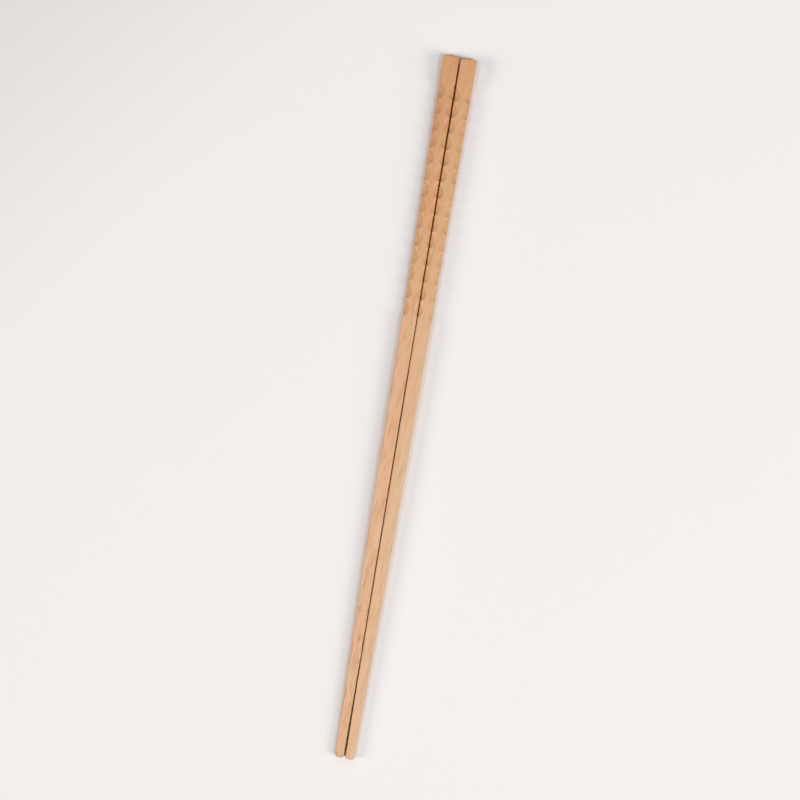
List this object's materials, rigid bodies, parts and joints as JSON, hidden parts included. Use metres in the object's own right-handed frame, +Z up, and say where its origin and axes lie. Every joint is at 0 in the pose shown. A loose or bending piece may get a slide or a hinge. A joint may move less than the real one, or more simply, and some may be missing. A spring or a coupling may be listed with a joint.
{
  "type": "pair of cooking chopsticks",
  "caption": "Long square wooden cooking chopsticks with scooped grip edges and slim blunt tips, lying side by side, for stirring, turning and serving food.",
  "frame": {"origin": "on the table, under the middle of the pair's box", "axes": "+Y from the tips to the butts, +Z up off the table, +X across the pair"},
  "size_m": [0.016, 0.3302, 0.0077],
  "materials": {
    "beech": "satin, fine grain"
  },
  "bodies": {
    "root": {"chopstick_left": "beech", "chopstick_right": "beech"}
  },
  "joints": []
}
